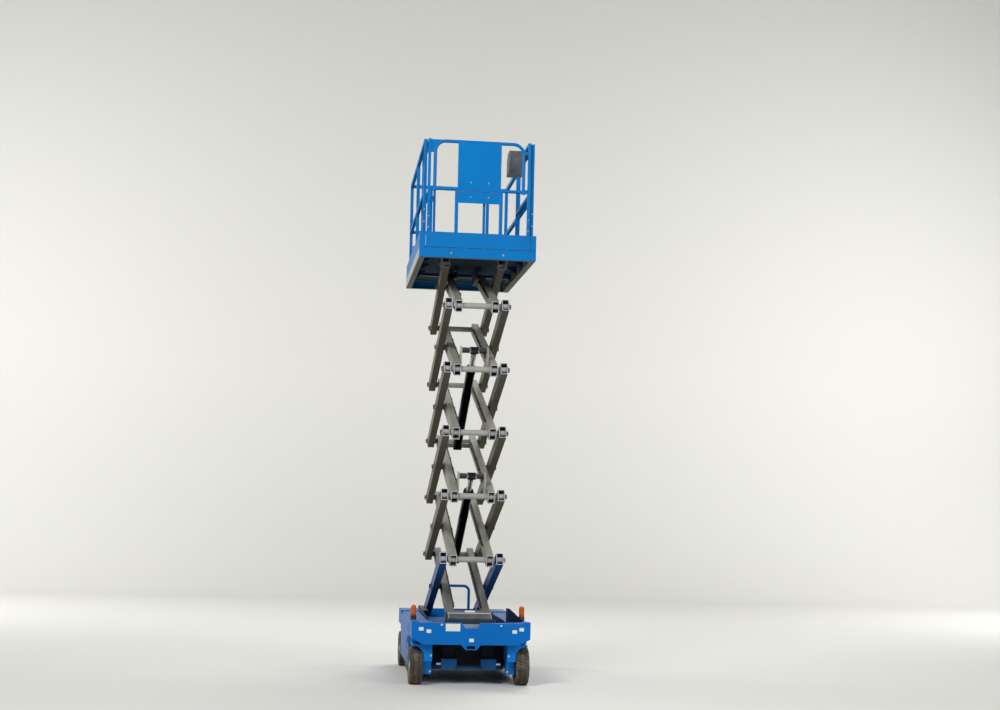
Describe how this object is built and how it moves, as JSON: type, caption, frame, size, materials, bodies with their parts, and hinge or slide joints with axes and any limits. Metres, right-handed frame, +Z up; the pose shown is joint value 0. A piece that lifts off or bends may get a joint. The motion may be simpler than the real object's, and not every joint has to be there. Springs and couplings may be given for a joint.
{
  "type": "scissor lift",
  "caption": "Electric slab scissor lift with a tall folding arm stack, a railed work platform with a roll-out deck, and a wheeled chassis with swing-out trays.",
  "frame": {"origin": "on the ground, under the middle of the outline", "axes": "+X across the machine to its right seen from the steer end, +Y along it from the steer end to the entry end, +Z up"},
  "size_m": [1.194, 2.44, 5.4432],
  "materials": {
    "arm_grey": "satin",
    "chassis_blue": "satin",
    "platform_blue": "satin",
    "dark_steel": "satin",
    "bright_rod": "polished",
    "tyre_rubber": "matte",
    "amber": "gloss",
    "black_plastic": "matte",
    "heavy_block": "satin",
    "grey_plate": "satin"
  },
  "bodies": {
    "chassis": {"chassis_nose": "chassis_blue", "chassis_tail": "chassis_blue", "centre_frame": "chassis_blue", "base_channels": "grey_plate", "base_pivot": "grey_plate", "rear_axle": "chassis_blue", "steer_carrier": "chassis_blue", "steer_rods": "bright_rod", "guard_brackets": "chassis_blue", "tray_hinges": "grey_plate", "slant_cover": "chassis_blue", "beacon_bases": "black_plastic", "beacon_lenses": "amber", "entry_ladder": "chassis_blue"},
    "inner_pair_1": {"inner_arms_1": "arm_grey"},
    "outer_pair_1": {"outer_arms_1": "arm_grey"},
    "inner_pair_2": {"inner_arms_2": "arm_grey"},
    "outer_pair_2": {"outer_arms_2": "arm_grey"},
    "inner_pair_3": {"inner_arms_3": "arm_grey"},
    "outer_pair_3": {"outer_arms_3": "arm_grey"},
    "inner_pair_4": {"inner_arms_4": "arm_grey"},
    "outer_pair_4": {"outer_arms_4": "arm_grey"},
    "inner_pair_5": {"inner_arms_5": "arm_grey"},
    "outer_pair_5": {"outer_arms_5": "arm_grey"},
    "inner_pair_6": {"inner_arms_6": "arm_grey"},
    "outer_pair_6": {"outer_arms_6": "arm_grey"},
    "lower_barrel": {"lower_cylinder_barrel": "dark_steel"},
    "lower_rod": {"lower_cylinder_rod": "bright_rod"},
    "upper_barrel": {"upper_cylinder_barrel": "dark_steel"},
    "upper_rod": {"upper_cylinder_rod": "bright_rod"},
    "yoke_left_body": {"yoke_left": "chassis_blue"},
    "yoke_right_body": {"yoke_right": "chassis_blue"},
    "wheel_steer_left": {"tyre_steer_left": "tyre_rubber", "rim_steer_left": "chassis_blue"},
    "wheel_steer_right": {"tyre_steer_right": "tyre_rubber", "rim_steer_right": "chassis_blue"},
    "wheel_rear_left": {"tyre_rear_left": "tyre_rubber", "rim_rear_left": "chassis_blue"},
    "wheel_rear_right": {"tyre_rear_right": "tyre_rubber", "rim_rear_right": "chassis_blue"},
    "tray_left_body": {"tray_left": "chassis_blue", "batteries": "heavy_block"},
    "tray_right_body": {"tray_right": "chassis_blue", "hydraulic_unit": "heavy_block"},
    "guard_left": {"pothole_guard_left": "chassis_blue"},
    "guard_right": {"pothole_guard_right": "chassis_blue"},
    "platform": {"platform_frame": "platform_blue", "platform_deck": "grey_plate", "guardrail_left": "platform_blue", "guardrail_right": "platform_blue", "guardrail_rear": "platform_blue"},
    "extension": {"extension_deck": "platform_blue", "extension_rails": "platform_blue", "front_rail": "platform_blue", "control_box": "black_plastic"},
    "gate": {"entry_gate": "platform_blue"}
  },
  "joints": [
    {"name": "lift", "type": "hinge", "parent": "chassis", "child": "inner_pair_1", "pos_m": [0, -1.045, 0.62], "axis": [1, 0, 0], "range_deg": [-14.2, 32.1]},
    {"name": "centre_pin_1", "type": "hinge", "parent": "inner_pair_1", "child": "outer_pair_1", "pos_m": [0, -0.06486, 0.93658], "axis": [1, 0, 0], "range_deg": [-64.21, 28.41]},
    {"name": "end_pin_1", "type": "hinge", "parent": "outer_pair_1", "child": "inner_pair_2", "pos_m": [0, -1.045, 1.25316], "axis": [1, 0, 0], "range_deg": [-28.41, 64.21]},
    {"name": "centre_pin_2", "type": "hinge", "parent": "inner_pair_2", "child": "outer_pair_2", "pos_m": [0, -0.06486, 1.56973], "axis": [1, 0, 0], "range_deg": [-64.21, 28.41]},
    {"name": "end_pin_2", "type": "hinge", "parent": "outer_pair_2", "child": "inner_pair_3", "pos_m": [0, -1.045, 1.88631], "axis": [1, 0, 0], "range_deg": [-28.41, 64.21]},
    {"name": "centre_pin_3", "type": "hinge", "parent": "inner_pair_3", "child": "outer_pair_3", "pos_m": [0, -0.06486, 2.20289], "axis": [1, 0, 0], "range_deg": [-64.21, 28.41]},
    {"name": "end_pin_3", "type": "hinge", "parent": "outer_pair_3", "child": "inner_pair_4", "pos_m": [0, -1.045, 2.51946], "axis": [1, 0, 0], "range_deg": [-28.41, 64.21]},
    {"name": "centre_pin_4", "type": "hinge", "parent": "inner_pair_4", "child": "outer_pair_4", "pos_m": [0, -0.06486, 2.83604], "axis": [1, 0, 0], "range_deg": [-64.21, 28.41]},
    {"name": "end_pin_4", "type": "hinge", "parent": "outer_pair_4", "child": "inner_pair_5", "pos_m": [0, -1.045, 3.15262], "axis": [1, 0, 0], "range_deg": [-28.41, 64.21]},
    {"name": "centre_pin_5", "type": "hinge", "parent": "inner_pair_5", "child": "outer_pair_5", "pos_m": [0, -0.06486, 3.4692], "axis": [1, 0, 0], "range_deg": [-64.21, 28.41]},
    {"name": "end_pin_5", "type": "hinge", "parent": "outer_pair_5", "child": "inner_pair_6", "pos_m": [0, -1.045, 3.78577], "axis": [1, 0, 0], "range_deg": [-28.41, 64.21]},
    {"name": "centre_pin_6", "type": "hinge", "parent": "inner_pair_6", "child": "outer_pair_6", "pos_m": [0, -0.06486, 4.10235], "axis": [1, 0, 0], "range_deg": [-64.21, 28.41]},
    {"name": "platform_pin", "type": "hinge", "parent": "outer_pair_6", "child": "platform", "pos_m": [0, -0.57872, 4.26832], "axis": [1, 0, 0], "range_deg": [-14.21, 32.11]},
    {"name": "lower_cylinder_foot", "type": "hinge", "parent": "inner_pair_1", "child": "lower_barrel", "pos_m": [0, 0.76303, 1.20398], "axis": [1, 0, 0], "range_deg": [-64.21, 28.41]},
    {"name": "lower_cylinder_stroke", "type": "slide", "parent": "lower_barrel", "child": "lower_rod", "axis": [0, -0.8825, 0.4702], "range_m": [-0.16119, 0.36426]},
    {"name": "upper_cylinder_foot", "type": "hinge", "parent": "inner_pair_3", "child": "upper_barrel", "pos_m": [0, 0.76303, 2.47029], "axis": [1, 0, 0], "range_deg": [-64.21, 28.41]},
    {"name": "upper_cylinder_stroke", "type": "slide", "parent": "upper_barrel", "child": "upper_rod", "axis": [0, -0.8825, 0.4702], "range_m": [-0.16119, 0.36426]},
    {"name": "steer", "type": "hinge", "parent": "chassis", "child": "yoke_left_body", "pos_m": [-0.532, -0.985, 0.4], "axis": [0, 0, 1], "range_deg": [-65, 65]},
    {"name": "steer_right_yoke", "type": "hinge", "parent": "chassis", "child": "yoke_right_body", "pos_m": [0.532, -0.985, 0.4], "axis": [0, 0, 1], "range_deg": [-65, 65]},
    {"name": "wheel_steer_left_turn", "type": "hinge", "parent": "yoke_left_body", "child": "wheel_steer_left", "pos_m": [-0.532, -0.985, 0.1905], "axis": [1, 0, 0], "continuous": true},
    {"name": "wheel_steer_right_turn", "type": "hinge", "parent": "yoke_right_body", "child": "wheel_steer_right", "pos_m": [0.532, -0.985, 0.1905], "axis": [1, 0, 0], "continuous": true},
    {"name": "wheel_rear_left_turn", "type": "hinge", "parent": "chassis", "child": "wheel_rear_left", "pos_m": [-0.532, 0.865, 0.1905], "axis": [1, 0, 0], "continuous": true},
    {"name": "wheel_rear_right_turn", "type": "hinge", "parent": "chassis", "child": "wheel_rear_right", "pos_m": [0.532, 0.865, 0.1905], "axis": [1, 0, 0], "continuous": true},
    {"name": "tray_left_swing", "type": "hinge", "parent": "chassis", "child": "tray_left_body", "pos_m": [-0.585, 0.632, 0.5], "axis": [0, 0, -1], "range_deg": [0, 90]},
    {"name": "guard_left_fold", "type": "hinge", "parent": "chassis", "child": "guard_left", "pos_m": [-0.54, -0.065, 0.12], "axis": [0, -1, 0], "range_deg": [0, 85]},
    {"name": "tray_right_swing", "type": "hinge", "parent": "chassis", "child": "tray_right_body", "pos_m": [0.585, 0.632, 0.5], "axis": [0, 0, 1], "range_deg": [0, 90]},
    {"name": "guard_right_fold", "type": "hinge", "parent": "chassis", "child": "guard_right", "pos_m": [0.54, -0.065, 0.12], "axis": [0, 1, 0], "range_deg": [0, 85]},
    {"name": "extension_roll", "type": "slide", "parent": "platform", "child": "extension", "axis": [0, -1, 0], "range_m": [0, 0.91]},
    {"name": "gate_swing", "type": "hinge", "parent": "platform", "child": "gate", "pos_m": [-0.304, 1.176, 4.86332], "axis": [0, 0, -1], "range_deg": [0, 90]}
  ],
  "couplings": [
    {"joint": "centre_pin_1", "follows": "lift", "ratio": -2},
    {"joint": "end_pin_1", "follows": "lift", "ratio": 2},
    {"joint": "centre_pin_2", "follows": "lift", "ratio": -2},
    {"joint": "end_pin_2", "follows": "lift", "ratio": 2},
    {"joint": "centre_pin_3", "follows": "lift", "ratio": -2},
    {"joint": "end_pin_3", "follows": "lift", "ratio": 2},
    {"joint": "centre_pin_4", "follows": "lift", "ratio": -2},
    {"joint": "end_pin_4", "follows": "lift", "ratio": 2},
    {"joint": "centre_pin_5", "follows": "lift", "ratio": -2},
    {"joint": "end_pin_5", "follows": "lift", "ratio": 2},
    {"joint": "centre_pin_6", "follows": "lift", "ratio": -2},
    {"joint": "platform_pin", "follows": "lift", "ratio": 1},
    {"joint": "lower_cylinder_foot", "follows": "lift", "ratio": -2},
    {"joint": "lower_cylinder_stroke", "follows": "lift", "m_per_rad": 0.65},
    {"joint": "upper_cylinder_foot", "follows": "lift", "ratio": -2},
    {"joint": "upper_cylinder_stroke", "follows": "lift", "m_per_rad": 0.65},
    {"joint": "steer_right_yoke", "follows": "steer", "ratio": 1}
  ]
}
